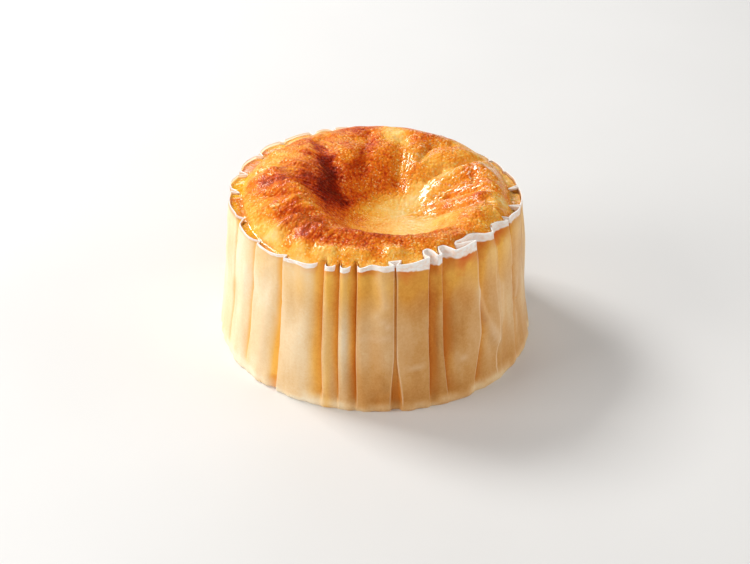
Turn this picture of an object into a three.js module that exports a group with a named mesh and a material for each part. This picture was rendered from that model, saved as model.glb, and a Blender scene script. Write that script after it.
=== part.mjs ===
// Basque burnt cheesecake for one: a soft, sunken cake baked in a pleated paper case.
// Millimetres, +Z up. The origin is on the table, under the middle of the case.
// Angles are in degrees from the front (-Y), turning towards the right (+X).
import * as THREE from 'three';

// Driving dimensions
const BASE_RADIUS = 41.2; // paper case at the table, before its foot is rounded
const RIM_RADIUS = 37.3; // paper case at its upper edge, at the front
const RIM_HEIGHT = 40.2; // height of that edge at the front
const WALL_BEND = 0.75; // the wall leans in faster near the table than near the rim
const PAPER_THICKNESS = 0.35;
const CLEARANCE = 0.3; // between the paper and the cake, at the sides and below
const BASE_ROUNDING = 1.1; // how far the foot of the case curves in
const PANEL_CROWN = 0.25; // how far a panel bulges between two pleats
const PANEL_STEP = 5.5; // widest angle between two points of a panel
const CORNER_ROOM = 2; // panel points keep this angle from a pleat

// Values round the cake, one every 45 degrees: front, front right, right, back right, back,
// back left, left, front left
const RIM_OUT = [0, -1.4, -0.3, -1, -0.1, 0.1, 0.1, 0.1]; // rim's radius, against the front
const RIM_LIFT = [0, 1.2, -1.4, -2, -1.9, -0.6, -0.6, -2.2]; // rim's height, against the front
const PAPER_SHOWING = [1.3, 2.6, 1.6, 1.2, 0.3, 0.5, 0.5, 0.6]; // paper above the cake's edge
const CREST_REACH = [22, 23.5, 24, 25, 25, 25, 24, 24]; // from the hollow's middle to the crest
const CREST_HEIGHT = [41.4, 42.2, 42.3, 42.2, 43.4, 44.2, 43.9, 42.6];
const WALL_START = [15, 13, 6, 4, 4, 4, 7, 12.5]; // from the hollow's middle to the foot of its wall
const WALL_END = [0.98, 0.97, 1, 1, 0.85, 0.9, 1, 1]; // where the wall levels out, as a share of reach
const LEDGE_WIDTH = [0.3, 0.3, 3.2, 1.4, 1, 2.6, 2.8, 1.4]; // flat custard between crust and paper

// The hollow that sinks in the middle as the cake cools
const HOLLOW = { x: 4, y: -4, height: 34.6, dish: 0.012 };
const SHOULDER_POWER = 2.6; // how late the crust drops towards the paper

// Ridges and creases of the crust: plan ends, half width and height, creases negative
const RELIEF = [
  { from: [8, 24], to: [18, 20.5], width: 2.6, height: 1 }, // lobes at the back right
  { from: [11, 11], to: [22, 15.5], width: 2.8, height: 1.1 },
  { from: [15.5, 4.8], to: [23, 6.8], width: 2.9, height: 1.2 }, // lobes at the right
  { from: [26, 8], to: [29, 0], width: 2.2, height: 0.8 },
  { from: [17.5, -4.6], to: [25.5, -6.6], width: 2.2, height: 1 },
  { from: [17, -11], to: [24, -15], width: 3, height: 0.9 },
  { from: [12, 13.5], to: [18, 19], width: 1.4, height: -0.9 }, // creases between those lobes
  { from: [12.8, 6.8], to: [26, 12.5], width: 1.4, height: -1.1 },
  { from: [14.5, 1], to: [26, -3], width: 1.4, height: -1.1 },
  { from: [15, -7], to: [24, -9.5], width: 1.4, height: -0.8 },
  { from: [5.4, 7], to: [6, 21], width: 2, height: -1.2 }, // folds down the back wall
  { from: [-3.6, 9], to: [-2.2, 24], width: 1.8, height: -0.9 },
  { from: [-15.5, 19], to: [-12.5, 8], width: 2.6, height: -0.7 }, // deepest, most burnt crease
  { from: [-12.5, 8], to: [-8.5, -2], width: 2.4, height: -0.8 },
  { from: [-20, 4], to: [-14, -5], width: 4, height: 0.7 }, // swelling beside that crease
  { from: [-31, 7.5], to: [-21, 20], width: 1.9, height: 0.7 }, // slanting ridges at the left
  { from: [-32, 1.5], to: [-27, 1.5], width: 1.8, height: 0.7 },
  { from: [-27, 1.5], to: [-18, -9], width: 2.1, height: 0.9 },
  { from: [-26.5, -13.5], to: [-12, -17], width: 2, height: 0.9 },
  { from: [-24.5, -20.8], to: [-13.5, -24.5], width: 1.7, height: 0.8 },
  { from: [-31, -6.5], to: [-20.5, -10.4], width: 1.4, height: -0.9 }, // creases between them
  { from: [-29, -16.2], to: [-17, -17.3], width: 1.4, height: -0.8 },
  { from: [-13.5, -24.5], to: [16, -27], width: 2.2, height: 0.6 }, // lip in front of the hollow
  { from: [-19, -28], to: [-11, -31.5], width: 1.8, height: 0.9 }, // blobs on the front shoulder
  { from: [3.6, -31.8], to: [5.2, -31.8], width: 1.9, height: 1 },
];

// Pleats of the paper at the rim, from the left round the front to the right. A valley is open,
// a knife pleat is a step: its sharp edge faces left or right and the next panel starts behind it.
const FRONT_PLEATS = [
  { kind: 'valley', at: -136, width: 2.8, depth: 1.4 },
  { kind: 'valley', at: -120.4, width: 2.8, depth: 2.2 },
  { kind: 'valley', at: -103, width: 2.8, depth: 2.4 },
  { kind: 'valley', at: -89.5, width: 2.8, depth: 2.4 },
  { kind: 'leftKnife', at: -66, width: 8, depth: 1.8 },
  { kind: 'leftKnife', at: -50, width: 8, depth: 1.5 },
  { kind: 'leftKnife', at: -36.5, width: 7, depth: 1.5 },
  { kind: 'valley', at: -20, width: 3, depth: 2.8 },
  { kind: 'valley', at: -14.5, width: 1.6, depth: 2.4 },
  { kind: 'valley', at: -8.9, width: 4.2, depth: 3.2 },
  { kind: 'dip', at: -1.8, width: 8, depth: 1 },
  { kind: 'valley', at: 7.1, width: 1.6, depth: 3 },
  { kind: 'rightKnife', at: 20.3, width: 3.6, depth: 2.4 },
  { kind: 'rightKnife', at: 26.2, width: 7, depth: 2.2 },
  { kind: 'rightKnife', at: 41.5, width: 8, depth: 2.2 },
  { kind: 'rightKnife', at: 51.2, width: 7, depth: 2 },
  { kind: 'rightKnife', at: 66, width: 6, depth: 1.8 },
  { kind: 'valley', at: 81, width: 2.6, depth: 2.8 },
  { kind: 'valley', at: 98, width: 2.8, depth: 2.8 },
];
// Pleats of the side that the front view hides: from this angle to that, about so far apart
const BACK_PLEATS = { from: 113, to: 211, spacing: 11, jitter: 2.6, width: [2.2, 3.6], depth: [1.8, 3] };
const RANDOM_SEED = 7;

// Heights at which the walls are cut into rings, and the share of the pleats' depth found there
const WALL_RINGS = [
  { z: 0, depth: 0, inset: BASE_ROUNDING },
  { z: 1, depth: 0.08, inset: 0.2 },
  { z: 5, depth: 0.35, inset: 0 },
  { z: 15, depth: 0.75, inset: 0 },
  { z: 27, depth: 0.95, inset: 0 },
];
const CRUST_RINGS = 17;
const EDGE_CROWDING = 0.8; // below 1, the crust's rings stand closer together near the paper

const radians = (degrees) => THREE.MathUtils.degToRad(degrees);

// A direction in plan, for an angle from the front
function bearing(degrees) {
  return [Math.sin(radians(degrees)), -Math.cos(radians(degrees))];
}

// A value at any angle, on a smooth closed curve through eight values round the cake
function roundTheCake(values, degrees) {
  const place = ((((degrees % 360) + 360) % 360) / 360) * values.length;
  const i = Math.floor(place);
  const u = place - i;
  const [a, b, c, d] = [-1, 0, 1, 2].map((k) => values[(i + k + values.length) % values.length]);
  return b + 0.5 * u * (c - a + u * (2 * a - 5 * b + 4 * c - d + u * (3 * (b - c) + d - a)));
}

function seededRandom(seed) {
  let state = seed;
  return () => {
    state = (state * 16807) % 2147483647;
    return state / 2147483647;
  };
}

// Plan corners of one pleat, as angle and depth below the panels
function pleatCorners({ kind, at, width, depth }) {
  const half = width / 2;
  switch (kind) {
    case 'valley':
      return [[at - half, 0], [at - half * 0.45, depth], [at + half * 0.45, depth], [at + half, 0]];
    case 'leftKnife':
      return [[at - width, 0], [at - width * 0.45, depth * 0.25], [at - 0.6, depth], [at, 0]];
    case 'rightKnife':
      return [[at, 0], [at + 0.6, depth], [at + width * 0.45, depth * 0.25], [at + width, 0]];
    default: // a shallow dip in a panel
      return [[at - half, 0], [at - half * 0.4, depth * 0.7], [at, depth], [at + half * 0.4, depth * 0.7],
        [at + half, 0]];
  }
}

// Every plan corner of the pleated paper in order round the case, as angle and depth
function pleatedOutline() {
  const random = seededRandom(RANDOM_SEED);
  const between = ([low, high]) => low + (high - low) * random();
  const pleats = [...FRONT_PLEATS];
  const { from, to, spacing, jitter, width, depth } = BACK_PLEATS;
  const kinds = ['valley', 'rightKnife', 'valley', 'leftKnife'];
  const count = Math.round((to - from) / spacing);
  for (let i = 0; i <= count; i += 1) {
    const at = from + (i * (to - from)) / count + (random() - 0.5) * jitter;
    pleats.push({ kind: kinds[i % kinds.length], at, width: between(width), depth: between(depth) });
  }
  const corners = pleats.map(pleatCorners);
  return corners.flatMap((pleat, i) => {
    const start = pleat[pleat.length - 1][0] + CORNER_ROOM;
    const end = corners[(i + 1) % corners.length][0][0] + (i + 1 === corners.length ? 360 : 0) - CORNER_ROOM;
    if (end <= start) return pleat;
    const steps = Math.ceil((end - start) / PANEL_STEP);
    const panel = Array.from({ length: steps + 1 }, (_, k) => [
      start + ((end - start) * k) / steps,
      -PANEL_CROWN * Math.sin((Math.PI * (k + 0.5)) / (steps + 1)),
    ]);
    return [...pleat, ...panel];
  });
}

const OUTLINE = pleatedOutline();
const rimRadius = (degrees) => RIM_RADIUS + roundTheCake(RIM_OUT, degrees);
const rimHeight = (degrees) => RIM_HEIGHT + roundTheCake(RIM_LIFT, degrees);
const cakeEdge = (degrees) => rimHeight(degrees) - roundTheCake(PAPER_SHOWING, degrees);

// One ring of the paper's outside, moved inwards by an even distance across its surface
function wallRing(z, depthShare, inset) {
  const lean = (z / RIM_HEIGHT) ** WALL_BEND;
  const plan = OUTLINE.map(([degrees, depth]) => {
    const [x, y] = bearing(degrees);
    const r = THREE.MathUtils.lerp(BASE_RADIUS, rimRadius(degrees), lean) - depth * depthShare;
    return [x * r, y * r];
  });
  return plan.map(([x, y], i) => {
    const [px, py] = plan[(i - 1 + plan.length) % plan.length];
    const [nx, ny] = plan[(i + 1) % plan.length];
    const before = new THREE.Vector2(py - y, x - px).normalize();
    const after = new THREE.Vector2(y - ny, nx - x).normalize();
    const normal = before.clone().add(after).normalize();
    const mitre = inset / Math.max(normal.dot(after), 0.5);
    return [x + normal.x * mitre, y + normal.y * mitre];
  });
}

// The rings of a wall from its foot to its edge, standing `inset` inside the paper's outside
function wallRings(inset, footHeight, edgeHeight) {
  const rings = WALL_RINGS.map((ring) => {
    const z = Math.max(ring.z, footHeight);
    return wallRing(ring.z, ring.depth, inset + ring.inset).map(([x, y]) => [x, y, z]);
  });
  const top = wallRing(RIM_HEIGHT, 1, inset).map(([x, y], i) => [x, y, edgeHeight(OUTLINE[i][0])]);
  return [...rings, top];
}

// Height of the crust above the table at a plan point
function crustHeight(x, y) {
  const dx = x - HOLLOW.x;
  const dy = y - HOLLOW.y;
  const reach = Math.hypot(dx, dy);
  const degrees = THREE.MathUtils.radToDeg(Math.atan2(dx, -dy));
  const crest = roundTheCake(CREST_REACH, degrees);
  const crestHeight = roundTheCake(CREST_HEIGHT, degrees);
  let z;
  if (reach < crest) {
    const end = crest * roundTheCake(WALL_END, degrees);
    const rise = THREE.MathUtils.smoothstep(reach, roundTheCake(WALL_START, degrees), end);
    const floor = HOLLOW.height + HOLLOW.dish * reach ** 2 * (1 - rise);
    z = floor + (crestHeight - floor) * rise;
  } else {
    const [ux, uy] = [dx / reach, dy / reach];
    const along = ux * HOLLOW.x + uy * HOLLOW.y;
    const own = THREE.MathUtils.radToDeg(Math.atan2(x, -y));
    const brim = RIM_RADIUS - roundTheCake(LEDGE_WIDTH, own);
    const inside = brim ** 2 - HOLLOW.x ** 2 - HOLLOW.y ** 2;
    const edgeReach = Math.sqrt(along ** 2 + inside) - along;
    const out = Math.min((reach - crest) / (edgeReach - crest), 1);
    const edge = cakeEdge(own);
    z = crestHeight - (crestHeight - edge) * out ** SHOULDER_POWER;
  }
  return z + relief(x, y) * THREE.MathUtils.smoothstep(RIM_RADIUS - Math.hypot(x, y), 0, 5);
}

function relief(x, y) {
  const point = new THREE.Vector2(x, y);
  return RELIEF.reduce((sum, { from, to, width, height }) => {
    const start = new THREE.Vector2(...from);
    const run = new THREE.Vector2(...to).sub(start);
    const share = THREE.MathUtils.clamp(point.clone().sub(start).dot(run) / run.lengthSq(), 0, 1);
    const away = point.distanceTo(start.addScaledVector(run, share)) / width;
    return sum + height * Math.exp(-away * away);
  }, 0);
}

// The rings of the crust, from the edge to the middle. Inner rings lose the pleats and spread
// their points evenly.
function crustRings(edgeRing) {
  const shares = Array.from({ length: CRUST_RINGS }, (_, k) => (
    (1 - (k + 1) / (CRUST_RINGS + 1)) ** EDGE_CROWDING));
  return shares.map((share) => edgeRing.map(([x, y], i) => {
    const own = THREE.MathUtils.radToDeg(Math.atan2(x, -y));
    const even = (360 * i) / edgeRing.length + OUTLINE[0][0];
    const turn = ((even - own + 540) % 360) - 180;
    const pleated = share ** 12;
    const [ux, uy] = bearing(own + turn * (1 - share));
    const round = RIM_RADIUS - PAPER_THICKNESS - CLEARANCE;
    const r = share * (round + (Math.hypot(x, y) - round) * pleated);
    return [ux * r, uy * r, crustHeight(ux * r, uy * r)];
  }));
}

// A closed mesh from stacked rings of equal length, with a middle point at either end. Each
// four-sided patch is cut along its shorter diagonal, so that neighbouring walls fold alike.
function closedMesh(rings, first, last) {
  const n = rings[0].length;
  const points = [...rings.flat(), first, last];
  const [bottom, top] = [rings.length * n, rings.length * n + 1];
  const span = (p, q) => Math.hypot(...points[p].map((value, axis) => value - points[q][axis]));
  const indices = [];
  for (let i = 0; i < n; i += 1) {
    const j = (i + 1) % n;
    indices.push(bottom, j, i);
    for (let k = 0; k + 1 < rings.length; k += 1) {
      const [a, b, c, d] = [k * n + i, k * n + j, (k + 1) * n + j, (k + 1) * n + i];
      if (span(a, c) < span(b, d)) indices.push(a, b, c, a, c, d);
      else indices.push(a, b, d, b, c, d);
    }
    indices.push(top, (rings.length - 1) * n + i, (rings.length - 1) * n + j);
  }
  const geometry = new THREE.BufferGeometry();
  geometry.setAttribute('position', new THREE.Float32BufferAttribute(points.flat(), 3));
  geometry.setIndex(indices);
  geometry.computeVertexNormals();
  return geometry;
}

// The paper: up the outside, over the edge, down the inside and across the bottom
function paperCase() {
  const outside = wallRings(0, 0, rimHeight);
  const inside = wallRings(PAPER_THICKNESS, PAPER_THICKNESS, rimHeight).reverse();
  const geometry = closedMesh([...outside, ...inside], [0, 0, 0], [0, 0, PAPER_THICKNESS]);
  const material = new THREE.MeshStandardMaterial({ color: 0xf0d8ae, roughness: 0.7, metalness: 0 });
  return named('paper_case', geometry, material);
}

// The cake: its side follows the pleats of the paper, its top is the sunken crust
function cake() {
  const inset = PAPER_THICKNESS + CLEARANCE;
  const side = wallRings(inset, inset, cakeEdge);
  const crust = crustRings(side[side.length - 1]);
  const middle = [0, 0, crustHeight(0, 0)];
  const geometry = closedMesh([...side, ...crust], [0, 0, inset], middle);
  const material = new THREE.MeshStandardMaterial({ color: 0xc9782f, roughness: 0.45, metalness: 0 });
  return named('cake', geometry, material);
}

function named(name, geometry, material) {
  const mesh = new THREE.Mesh(geometry, material);
  mesh.name = name;
  return mesh;
}

const group = new THREE.Group();
group.add(paperCase(), cake());

export default group;
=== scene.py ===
# %% [markdown]
# # A Basque burnt cheesecake for one, in its pleated paper case
# The cake is poured high into a paper-lined ring and baked very hot. Its top browns and blisters,
# then the middle sinks as it cools. This lesson builds two pieces: the cake with its wrinkled crust,
# and the baking paper that is folded round it. Shapes are worked out in millimetres, because that is
# how a baker measures, and are turned into Blender's metres when a mesh is made.

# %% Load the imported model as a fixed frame
import math

import bpy
import numpy as np
from mathutils import Euler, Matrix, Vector


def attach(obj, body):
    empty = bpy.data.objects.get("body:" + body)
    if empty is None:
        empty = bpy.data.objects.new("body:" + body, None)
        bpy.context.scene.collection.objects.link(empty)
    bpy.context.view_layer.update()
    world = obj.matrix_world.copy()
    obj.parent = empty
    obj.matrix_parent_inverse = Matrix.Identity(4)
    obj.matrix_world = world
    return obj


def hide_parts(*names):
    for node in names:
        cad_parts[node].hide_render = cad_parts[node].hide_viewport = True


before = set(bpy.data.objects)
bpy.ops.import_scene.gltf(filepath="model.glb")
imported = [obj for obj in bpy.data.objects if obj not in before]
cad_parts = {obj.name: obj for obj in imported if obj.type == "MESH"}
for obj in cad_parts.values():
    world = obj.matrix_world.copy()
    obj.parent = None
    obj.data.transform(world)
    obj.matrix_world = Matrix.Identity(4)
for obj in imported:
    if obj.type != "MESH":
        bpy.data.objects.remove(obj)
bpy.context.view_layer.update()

MM = 0.001

# %% [markdown]
# ## Sizes
# A real case of this kind is about 80 mm wide and 40 mm high. Everything that changes round the cake
# is one value for every 45 degrees, starting at the front and turning to the right, and a smooth
# closed curve runs through the eight values. That keeps the cake uneven without a long list.

# %% Driving dimensions, in millimetres and degrees
BASE_RADIUS = 41.2
RIM_RADIUS = 37.3
RIM_HEIGHT = 40.2
WALL_BEND = 0.75
BASE_ROUNDING = 1.1
PAPER_THICKNESS = 0.22
CLEARANCE = 0.3
RIM_OUT = [0, -1.4, -0.8, -1, -0.1, 0.1, 0.1, 0.1]
BASE_OUT = [0, 0, -0.5, 0, 0, 0, 0, 0]
RIM_LIFT = [0, 1.2, -1.4, -2.6, -1.9, -0.6, -0.6, -2.2]
PAPER_SHOWING = [1.3, 2.6, 1.4, 0.1, 0.3, 0.8, 0.9, 0.7]
BARE_EDGE = [1.3, 2.8, 2.4, 1.8, 0.9, 0.7, 0.6, 0.6, 0.6, 0.6, 0.9, 0.9, 0.7, 0.45, 0.55, 1.2]
FULL_TURN = 360


def bearing(degrees):
    """A direction in plan: 0 is the front, 90 the right."""
    turn = np.radians(degrees)
    return np.sin(turn), -np.cos(turn)


def angle_of(x, y):
    return np.degrees(np.arctan2(x, -y))


def round_the_cake(values, degrees):
    """A value at any angle, on a smooth closed curve through the given values."""
    values = np.asarray(values, float)
    place = np.mod(degrees, FULL_TURN) / FULL_TURN * len(values)
    i = np.floor(place).astype(int)
    u = place - i
    a, b, c, d = (values[(i + k) % len(values)] for k in (-1, 0, 1, 2))
    return b + 0.5 * u * (c - a + u * (2 * a - 5 * b + 4 * c - d + u * (3 * (b - c) + d - a)))


def soft_step(x, low, high):
    share = np.clip((x - low) / (high - low), 0, 1)
    return share * share * (3 - 2 * share)


def marks(table, x, y):
    """Sum of soft marks, each a stroke in plan with a half width and an amount."""
    total = 0
    for start, end, width, amount in table:
        run = np.subtract(end, start)
        share = np.clip(((x - start[0]) * run[0] + (y - start[1]) * run[1]) / max(run @ run, 1e-6), 0, 1)
        away = np.hypot(x - start[0] - share * run[0], y - start[1] - share * run[1]) / width
        total = total + amount * np.exp(-away * away)
    return total


def rim_radius(degrees):
    return RIM_RADIUS + round_the_cake(RIM_OUT, degrees)


def rim_height(degrees):
    return RIM_HEIGHT + round_the_cake(RIM_LIFT, degrees)


def wall_radius(degrees, z):
    """Outside of the paper case, without its pleats, at a height."""
    lean = np.clip(z / RIM_HEIGHT, 0, 1.1) ** WALL_BEND
    base = BASE_RADIUS + round_the_cake(BASE_OUT, degrees)
    return base + (rim_radius(degrees) - base) * lean


# %% [markdown]
# ## Camera, floor and light
# The camera looks down at about 33 degrees through a long lens, as food is often photographed. The
# floor is plain and pale. A window stands behind the cake on the left, so that it grazes the crust and
# makes the wrinkles glint. Three soft lights fill the sides and the front. They are kept out of the
# gloss, and so is most of the world, because a grey sheen would take the colour out of the crust.

# %% Camera
CAMERA_PLACE = Vector((0, -0.39794, 0.26841))
LOOK_DOWN = 32.78
CAMERA_ROLL = 0.8
PICTURE_WIDTH = 750

camera_data = bpy.data.cameras.new("camera")
camera_data.lens = 86.39
camera_data.sensor_width = 36
camera_data.clip_start = 0.01
camera_data.shift_x = -1.4476 / PICTURE_WIDTH
camera = bpy.data.objects.new("camera", camera_data)
tilt = Euler((math.radians(90 - LOOK_DOWN), 0, 0)).to_matrix()
roll = Euler((0, 0, math.radians(CAMERA_ROLL))).to_matrix()
camera.location = CAMERA_PLACE
camera.rotation_euler = (tilt @ roll).to_euler()
bpy.context.scene.collection.objects.link(camera)
bpy.context.scene.camera = camera


# %% Lights and world
def soft_light(name, place, size, power, colour=(1, 1, 1), seen_in_gloss=True, aim=(0, 0, 0.025)):
    light = bpy.data.lights.new(name, "AREA")
    light.shape = "RECTANGLE"
    light.size, light.size_y = size
    light.energy = power
    light.color = colour
    lamp = bpy.data.objects.new(name, light)
    lamp.location = place
    lamp.visible_glossy = seen_in_gloss
    lamp.rotation_euler = (Vector(aim) - Vector(place)).to_track_quat("-Z", "Y").to_euler()
    bpy.context.scene.collection.objects.link(lamp)
    return lamp


soft_light("key_window", (-0.5, 0.35, 0.6), (0.28, 0.28), 5.5, (1, 0.985, 0.96))
soft_light("back_strip", (-0.08, 0.75, 0.32), (0.5, 0.15), 0.8)
soft_light("left_fill", (-0.8, -0.25, 0.35), (0.5, 0.5), 4.4, (1, 0.97, 0.92), False)
soft_light("front_fill", (0.15, -0.8, 0.5), (0.8, 0.8), 1.8, (1, 0.97, 0.92), False)
soft_light("right_fill", (0.8, -0.05, 0.3), (0.5, 0.5), 2.2, (1, 0.97, 0.92), False)

world = bpy.data.worlds.new("studio")
world.use_nodes = True
background = world.node_tree.nodes["Background"]
background.inputs["Color"].default_value = (1, 1, 1, 1)
glossy = world.node_tree.nodes.new("ShaderNodeLightPath").outputs["Is Glossy Ray"]
dimmed = world.node_tree.nodes.new("ShaderNodeMapRange")
dimmed.inputs["To Min"].default_value = 0.26
dimmed.inputs["To Max"].default_value = 0.05
world.node_tree.links.new(glossy, dimmed.inputs["Value"])
world.node_tree.links.new(dimmed.outputs["Result"], background.inputs["Strength"])
bpy.context.scene.world = world
bpy.context.scene.view_settings.view_transform = "Standard"

# %% [markdown]
# ## Noise that we can measure
# A crust's wrinkles have to be real geometry, so the random hills are made here with arrays, not in a
# texture. A lattice of seeded random numbers is blended smoothly. The third coordinate lets a pattern
# run round the cake without a seam.


# %% Seeded lattice noise
def hills(x, y, z, seed, size=48):
    """Smooth random hills from -1 to 1, one lattice cell per unit of x, y and z."""
    lattice = np.random.default_rng(seed).uniform(-1, 1, (size, size, size))
    corners, blends = [], []
    for value in (x, y, z):
        cell = np.floor(value)
        part = value - cell
        corners.append(cell.astype(int))
        blends.append(part * part * (3 - 2 * part))
    total = 0
    for i in (0, 1):
        for j in (0, 1):
            for k in (0, 1):
                weight = 1
                for step, blend in zip((i, j, k), blends):
                    weight = weight * (blend if step else 1 - blend)
                total = total + weight * lattice[tuple((c + s) % size for c, s in zip(corners, (i, j, k)))]
    return total


def mesh_piece(name, points, faces, attributes):
    """A smooth-shaded mesh from points in millimetres, with float values stored at its points."""
    mesh = bpy.data.meshes.new(name)
    mesh.from_pydata((np.asarray(points) * MM).tolist(), [], faces)
    for label, values in attributes.items():
        layer = mesh.attributes.new(label, "FLOAT", "POINT")
        layer.data.foreach_set("value", np.asarray(values, np.float32).ravel())
    mesh.shade_smooth()
    mesh.update()
    piece = bpy.data.objects.new(name, mesh)
    bpy.context.scene.collection.objects.link(piece)
    print(name, len(mesh.vertices), "points,", len(mesh.polygons), "faces")
    return piece


def thicken(piece, thickness, crisp_above):
    """Gives a surface its thickness inward. Edges that turn by more than so many degrees stay crisp."""
    solid = piece.modifiers.new("thickness", "SOLIDIFY")
    solid.thickness = thickness
    solid.offset = -1
    solved = piece.evaluated_get(bpy.context.evaluated_depsgraph_get())
    piece.data = bpy.data.meshes.new_from_object(solved)
    piece.modifiers.clear()
    piece.data.set_sharp_from_angle(angle=math.radians(crisp_above))


def floor_piece():
    """A wide pale floor for the cake to stand on."""
    half = 3000
    corners = [(-half, -half, 0), (half, -half, 0), (half, half, 0), (-half, half, 0)]
    return mesh_piece("floor", corners, [(0, 1, 2, 3)], {})


# %% [markdown]
# ## The paper case
# The case is one round sheet of baking paper. Where it stands up its edge is longer than the ring, so
# the spare paper is laid in pleats. Most are knife pleats: a panel bends slowly inward, then springs
# back at a sharp crease and the next panel begins. The paper was pressed flat at the foot and stands
# free at the rim, so each turn of it has its own angle and depth at three levels. Between the levels,
# and from one turn to the next, smooth curves run through them.

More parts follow.
